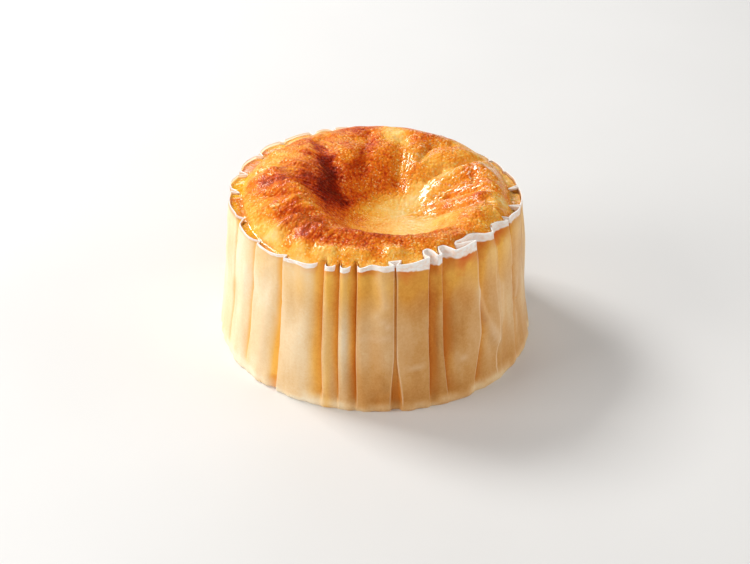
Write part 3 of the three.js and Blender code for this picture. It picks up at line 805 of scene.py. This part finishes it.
def inner_outline(*shares):
    """Radius of the paper's innermost layer for each half degree, at some shares of its height."""
    rings = [paper_ring(share)[0] for share in shares]
    dense = np.concatenate([ring + (np.roll(ring, -1, 0) - ring) * u for ring in rings for u in (0, 0.25, 0.5, 0.75)])
    place = np.round(angle_of(dense[:, 0], dense[:, 1]) / FULL_TURN * OUTLINE_STEPS).astype(int) % OUTLINE_STEPS
    radius = np.full(OUTLINE_STEPS, np.inf)
    np.minimum.at(radius, place, np.hypot(dense[:, 0], dense[:, 1]))
    empty = np.isinf(radius)
    steps = np.arange(OUTLINE_STEPS)
    radius[empty] = np.interp(steps[empty], steps[~empty], radius[~empty], period=OUTLINE_STEPS)
    radius = np.minimum.reduce([np.roll(radius, k) for k in (-1, 0, 1)])
    return radius - CLEARANCE


def outline_at(outline, degrees):
    return np.interp(np.mod(degrees, FULL_TURN), np.arange(OUTLINE_STEPS) * FULL_TURN / OUTLINE_STEPS,
                     outline, period=FULL_TURN)


# %% The cake's mesh
CRUST_CELLS = 280
SIDE_SHARES = [0.92, 0.88, 0.84, 0.7, 0.5, 0.3, 0.12, 0.03]


def disc_grid(cells):
    """Plan directions and shares of the radius for a square grid bent into an even disc."""
    line = np.linspace(-1, 1, cells + 1)
    a, b = np.meshgrid(line, line)
    wide = np.abs(a) >= np.abs(b)
    share = np.where(wide, np.abs(a), np.abs(b))
    safe_a, safe_b = np.where(a == 0, 1e-9, a), np.where(b == 0, 1e-9, b)
    turn = np.where(wide, 45 * b / safe_a + np.where(a < 0, 180, 0), 90 - 45 * a / safe_b + np.where(b < 0, 180, 0))
    return turn + 90, share


def border_of_grid(cells):
    """Indices of the grid's outer points, in order."""
    n = cells + 1
    bottom = [i for i in range(n - 1)]
    right = [(i + 1) * n - 1 for i in range(n - 1)]
    top = [n * n - 1 - i for i in range(n - 1)]
    left = [n * (n - 1) - i * n for i in range(n - 1)]
    return bottom + right + top + left


def cake_piece():
    """The whole cake: fine crust, coarser side inside the paper, flat bottom."""
    turn, share = disc_grid(CRUST_CELLS)
    turn, share = turn.ravel(), share.ravel()
    top = outline_at(inner_outline(0.93, 0.95, 0.97, 0.985), turn)
    r = share * (RIM_RADIUS - 2.5 + (top - RIM_RADIUS + 2.5) * share ** 8)
    x, y = bearing(turn)
    x, y = x * r, y * r
    z = crust_form(x, y) + crust_wrinkles(x, y) * soft_step(1 - share, 0, 0.04)
    crust = np.stack([x, y, z], 1)
    border = border_of_grid(CRUST_CELLS)
    n = CRUST_CELLS + 1
    faces = [(j * n + i, j * n + i + 1, (j + 1) * n + i + 1, (j + 1) * n + i)
             for j in range(CRUST_CELLS) for i in range(CRUST_CELLS)]
    rows = [crust]
    upper = border
    for side in SIDE_SHARES:
        degrees = turn[border]
        radius = outline_at(inner_outline(side + 0.02, side, side - 0.02), degrees)
        bx, by = bearing(degrees)
        height = np.maximum(rim_height(degrees) * side, PAPER_THICKNESS + CLEARANCE)
        start = sum(len(row) for row in rows)
        rows.append(np.stack([bx * radius, by * radius, height], 1))
        lower = list(range(start, start + len(border)))
        faces += [(upper[i - 1], lower[i - 1], lower[i], upper[i]) for i in range(len(border))]
        upper = lower
    middle = sum(len(row) for row in rows)
    rows.append(np.array([[0, 0, PAPER_THICKNESS + CLEARANCE]]))
    faces += [(upper[i - 1], middle, upper[i]) for i in range(len(border))]
    points = np.concatenate(rows)
    return mesh_piece("cheesecake", points, faces, crust_paint(points[:, 0], points[:, 1]))


# %% [markdown]
# ## Finishes
# Both materials start from what the mesh knows about itself: how toasted a point is, how deep in a
# fold, how far below the rim. Noise then breaks up the borders.


# %% Helpers for shader nodes
def shader_node(tree, kind, settings=None, **inputs):
    """Adds a node. Each input is a plain value, or a socket to link from."""
    made = tree.nodes.new(kind)
    for name, value in (settings or {}).items():
        setattr(made, name, value)
    for name, value in inputs.items():
        socket = made.inputs[name.replace("_", " ")]
        if isinstance(value, bpy.types.NodeSocket):
            tree.links.new(value, socket)
        else:
            socket.default_value = value
    return made


def calculate(tree, operation, *values):
    """A Math node: the values are numbers or sockets."""
    made = tree.nodes.new("ShaderNodeMath")
    made.operation = operation
    for socket, value in zip(made.inputs, values):
        if isinstance(value, bpy.types.NodeSocket):
            tree.links.new(value, socket)
        else:
            socket.default_value = value
    return made.outputs[0]


def rescale(tree, value, low, high, new_low=0.0, new_high=1.0):
    """A Map Range node, clamped."""
    made = shader_node(tree, "ShaderNodeMapRange", Value=value, From_Min=low, From_Max=high,
                       To_Min=new_low, To_Max=new_high)
    return made.outputs["Result"]


def blend_colours(tree, share, first, second):
    made = tree.nodes.new("ShaderNodeMix")
    made.data_type = "RGBA"
    for socket, value in ((made.inputs[0], share), (made.inputs[6], first), (made.inputs[7], second)):
        if isinstance(value, bpy.types.NodeSocket):
            tree.links.new(value, socket)
        else:
            socket.default_value = value
    return made.outputs[2]


def srgb(red, green, blue):
    """A colour as a screen shows it, from 0 to 255, as the linear values that a shader needs."""
    values = [v / 255 for v in (red, green, blue)]
    linear = [v / 12.92 if v <= 0.04045 else ((v + 0.055) / 1.055) ** 2.4 for v in values]
    return (*linear, 1)


def ramp(tree, factor, stops):
    made = tree.nodes.new("ShaderNodeValToRGB")
    elements = made.color_ramp.elements
    while len(elements) < len(stops):
        elements.new(0.5)
    for element, (place, colour) in zip(elements, stops):
        element.position = place
        element.color = colour
    tree.links.new(factor, made.inputs["Fac"])
    return made.outputs["Color"]


def stored(tree, label):
    return shader_node(tree, "ShaderNodeAttribute", {"attribute_name": label}).outputs["Fac"]


# %% [markdown]
# ## One noise for every finish
# Crust, paper and floor all need soft random spots. The nodes for them are put in one group, with the
# width of the spots in millimetres as an input, and each material places that group with its own
# values. The noise lies in the object's own space, so it stays with the piece when it is turned.

# %% The noise group
def spots_group():
    group = bpy.data.node_groups.new("spots", "ShaderNodeTree")
    for label in ("Width", "Detail", "Roughness"):
        group.interface.new_socket(label, in_out="INPUT", socket_type="NodeSocketFloat")
    group.interface.new_socket("Stretch", in_out="INPUT", socket_type="NodeSocketVector")
    group.interface.new_socket("Spots", in_out="OUTPUT", socket_type="NodeSocketFloat")
    given = shader_node(group, "NodeGroupInput").outputs
    place = shader_node(group, "ShaderNodeTexCoord").outputs["Object"]
    stretched = shader_node(group, "ShaderNodeMapping", Vector=place, Scale=given["Stretch"]).outputs["Vector"]
    noise = shader_node(group, "ShaderNodeTexNoise", Vector=stretched, Detail=given["Detail"],
                        Scale=calculate(group, "DIVIDE", 1 / MM, given["Width"]), Roughness=given["Roughness"])
    shader_node(group, "NodeGroupOutput", Spots=noise.outputs["Fac"])
    return group


SPOTS = spots_group()


def spots(tree, width, detail=3, roughness=0.55, stretch=(1, 1, 1)):
    """Places the group: random spots from 0 to 1 that are about so many millimetres wide."""
    made = shader_node(tree, "ShaderNodeGroup", {"node_tree": SPOTS}, Width=width, Detail=detail,
                       Roughness=roughness, Stretch=stretch)
    return made.outputs["Spots"]


# %% Burnt crust
CRUST_COLOURS = [
    (0.0, srgb(250, 208, 136)),
    (0.15, srgb(249, 194, 98)),
    (0.35, srgb(245, 162, 50)),
    (0.55, srgb(234, 124, 22)),
    (0.72, srgb(204, 76, 10)),
    (0.86, srgb(152, 36, 5)),
    (1.0, srgb(106, 18, 4)),
]


def burnt_crust():
    material = bpy.data.materials.new("burnt_crust")
    material.use_nodes = True
    tree = material.node_tree
    surface = tree.nodes["Principled BSDF"]
    place = shader_node(tree, "ShaderNodeTexCoord").outputs["Object"]
    cells = shader_node(tree, "ShaderNodeTexVoronoi", Vector=place, Scale=1 / (0.7 * MM)).outputs["Distance"]
    fine_cells = shader_node(tree, "ShaderNodeTexNoise", Vector=place, Scale=1 / (0.55 * MM), Detail=1,
                             Roughness=0.5).outputs["Fac"]
    blotches = spots(tree, 5, 4)
    speckle = spots(tree, 0.8, 1, 0.5)
    clusters = spots(tree, 3.5, 3)
    painted_glint_spots = spots(tree, 0.55, 1, 0.5)
    grains = stored(tree, "grains")
    wet = stored(tree, "wet")
    toast = stored(tree, "toast")
    toast = calculate(tree, "ADD", toast, rescale(tree, blotches, 0.3, 0.7, -0.13, 0.13))
    toast = calculate(tree, "ADD", toast, rescale(tree, speckle, 0.3, 0.7, -0.07, 0.07))
    # Painted shade and highlight: the seams between the grains darker, their tops lighter.
    toast = calculate(tree, "ADD", toast, rescale(tree, grains, 0.5, 1.4, 0.08, -0.06))
    colour = ramp(tree, toast, CRUST_COLOURS)
    # Dry, dull brown patches of the crust; the patch over the left ridges is painted shade.
    colour = blend_colours(tree, calculate(tree, "MULTIPLY", stored(tree, "dry"), 0.45), colour, srgb(202, 110, 42))
    # Custard in the pockets at the left: partly its own yellow, partly painted light that brightens it in the rim's
    # shade.
    pouch = blend_colours(tree, rescale(tree, spots(tree, 6, 2), 0.4, 0.6), srgb(255, 184, 12), srgb(234, 122, 8))
    colour = blend_colours(tree, calculate(tree, "MULTIPLY", stored(tree, "custard"), 0.95), colour, pouch)
    # Painted highlight: small pale glints in clusters, fewer where the crust is darkest.
    painted_glints = calculate(tree, "MULTIPLY", rescale(tree, painted_glint_spots, 0.6, 0.68), rescale(tree, clusters, 0.36, 0.52))
    painted_glints = calculate(tree, "MULTIPLY", painted_glints, rescale(tree, toast, 0.5, 0.8, 0.85, 0.06))
    colour = blend_colours(tree, painted_glints, colour, srgb(255, 220, 144))
    # Painted highlight: near-white glints where the crust is wet.
    painted_wet_glints = calculate(tree, "MULTIPLY", rescale(tree, spots(tree, 1, 2, 0.5), 0.6, 0.66), rescale(tree, wet, 0.5, 0.9, 0, 0.6))
    colour = blend_colours(tree, painted_wet_glints, colour, srgb(255, 246, 214))
    tree.links.new(colour, surface.inputs["Base Color"])
    tree.links.new(rescale(tree, wet, 0, 1, 0.5, 0.35), surface.inputs["Roughness"])
    surface.inputs["Specular IOR Level"].default_value = 0.08
    surface.inputs["Coat Roughness"].default_value = 0.06
    surface.inputs["Subsurface Weight"].default_value = 0.35
    surface.inputs["Subsurface Radius"].default_value = (1.0, 0.45, 0.12)
    surface.inputs["Subsurface Scale"].default_value = 1.5 * MM
    gloss = calculate(tree, "MULTIPLY", rescale(tree, wet, 0, 0.6, 0.3, 1), rescale(tree, toast, 0.6, 0.9, 1, 0.3))
    tree.links.new(gloss, surface.inputs["Coat Weight"])
    domes = calculate(tree, "MULTIPLY", calculate(tree, "MULTIPLY", cells, cells), 1.2)
    grain = calculate(tree, "SUBTRACT", speckle, domes)
    strength = rescale(tree, stored(tree, "toast"), 0.2, 0.5, 0.25, 1)
    bump = shader_node(tree, "ShaderNodeBump", Strength=strength, Distance=0.3 * MM, Height=grain)
    tree.links.new(bump.outputs["Normal"], surface.inputs["Normal"])
    broken = rescale(tree, wet, 0.2, 0.7, 0.5, 0.12)
    glitter = shader_node(tree, "ShaderNodeBump", Strength=broken, Distance=0.3 * MM, Height=fine_cells)
    tree.links.new(glitter.outputs["Normal"], surface.inputs["Coat Normal"])
    return material


# %% Baking paper
PAPER_COLOURS = [
    (0.0, srgb(246, 228, 198)),
    (0.15, srgb(242, 214, 172)),
    (0.35, srgb(232, 194, 142)),
    (0.5, srgb(222, 174, 118)),
    (0.65, srgb(212, 156, 90)),
    (0.82, srgb(196, 132, 62)),
    (1.0, srgb(176, 100, 34)),
]


def baking_paper():
    material = bpy.data.materials.new("baking_paper")
    material.use_nodes = True
    tree = material.node_tree
    surface = tree.nodes["Principled BSDF"]
    below = stored(tree, "bare_edge")
    streaks = spots(tree, 3, 3, 0.5, (1, 1, 0.15))
    clouds = spots(tree, 9, 3)
    flecks = spots(tree, 1.2, 3)
    fibre = spots(tree, 0.35, 2)
    mottle = spots(tree, 0.5, 2)
    uneven = calculate(tree, "MULTIPLY", below, rescale(tree, spots(tree, 4, 2), 0.3, 0.7, 0.75, 1.3))
    soaked = calculate(tree, "ADD", stored(tree, "soaked"), rescale(tree, clouds, 0.3, 0.7, -0.05, 0.05))
    soaked = calculate(tree, "ADD", soaked, rescale(tree, streaks, 0.35, 0.7, -0.04, 0.06))
    soaked = calculate(tree, "ADD", soaked, rescale(tree, mottle, 0.3, 0.7, -0.04, 0.04))
    soaked = calculate(tree, "ADD", soaked, rescale(tree, flecks, 0.3, 0.7, -0.03, 0.03))
    colour = ramp(tree, soaked, PAPER_COLOURS)
    gold = calculate(tree, "MULTIPLY", stored(tree, "golden"), 0.85)
    custard = blend_colours(tree, rescale(tree, soaked, 0.32, 0.76), srgb(251, 188, 64), srgb(206, 116, 16))
    colour = blend_colours(tree, gold, colour, custard)
    # Painted highlight: a thin light line along the crests of the folds.
    crest = calculate(tree, "MULTIPLY", stored(tree, "crest"), rescale(tree, streaks, 0.35, 0.65, 0.15, 0.6))
    colour = blend_colours(tree, crest, colour, srgb(255, 234, 200))
    caramel = calculate(tree, "MULTIPLY", rescale(tree, uneven, 0.95, 1.1), rescale(tree, uneven, 1.2, 2.5, 1, 0))
    caramel = calculate(tree, "MULTIPLY", caramel, stored(tree, "caramel"))
    colour = blend_colours(tree, caramel, colour, srgb(222, 92, 26))
    colour = blend_colours(tree, calculate(tree, "MULTIPLY", stored(tree, "notch"), 0.7), colour, srgb(222, 140, 50))
    wrinkled = spots(tree, 1.4, 3, 0.6, (1, 1, 1.8))
    dry = blend_colours(tree, rescale(tree, wrinkled, 0.38, 0.68), srgb(255, 251, 247), srgb(250, 222, 202))
    dry = blend_colours(tree, rescale(tree, below, 0.08, 0.2, 1, 0), dry, srgb(255, 253, 250))
    colour = blend_colours(tree, rescale(tree, uneven, 0.92, 1.06, 1, 0), colour, dry)
    tree.links.new(colour, surface.inputs["Base Color"])
    surface.inputs["Roughness"].default_value = 0.5
    surface.inputs["Specular IOR Level"].default_value = 0.25
    glow = blend_colours(tree, rescale(tree, below, 0.6, 1.6), srgb(255, 250, 240), srgb(255, 218, 120))
    through = shader_node(tree, "ShaderNodeBsdfTranslucent", Color=glow)
    clear = calculate(tree, "MULTIPLY", rescale(tree, below, 0.1, 0.4), rescale(tree, below, 1.2, 2.6, 1, 0))
    clear = calculate(tree, "MULTIPLY", stored(tree, "see_through"), clear)
    both = shader_node(tree, "ShaderNodeMixShader", Fac=clear)
    tree.links.new(surface.outputs[0], both.inputs[1])
    tree.links.new(through.outputs[0], both.inputs[2])
    tree.links.new(both.outputs[0], tree.nodes["Material Output"].inputs["Surface"])
    height = calculate(tree, "ADD", fibre, clouds)
    bump = shader_node(tree, "ShaderNodeBump", Strength=0.25, Distance=0.2 * MM, Height=height)
    tree.links.new(bump.outputs["Normal"], surface.inputs["Normal"])
    return material


# %% Pale floor
def pale_floor():
    material = bpy.data.materials.new("pale_floor")
    material.use_nodes = True
    tree = material.node_tree
    surface = tree.nodes["Principled BSDF"]
    cloud = spots(tree, 60, 2)
    tree.links.new(blend_colours(tree, cloud, (0.76, 0.76, 0.76, 1), (0.8, 0.8, 0.8, 1)), surface.inputs["Base Color"])
    surface.inputs["Roughness"].default_value = 0.6
    return material


# %% Put the pieces in place
floor = floor_piece()
floor.data.materials.append(pale_floor())

paper = paper_piece()
thicken(paper, PAPER_THICKNESS * MM, 50)
paper.data.materials.append(baking_paper())
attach(paper, "root")
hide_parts("paper_case")

cheesecake = cake_piece()
cheesecake.data.materials.append(burnt_crust())
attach(cheesecake, "root")
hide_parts("cake")
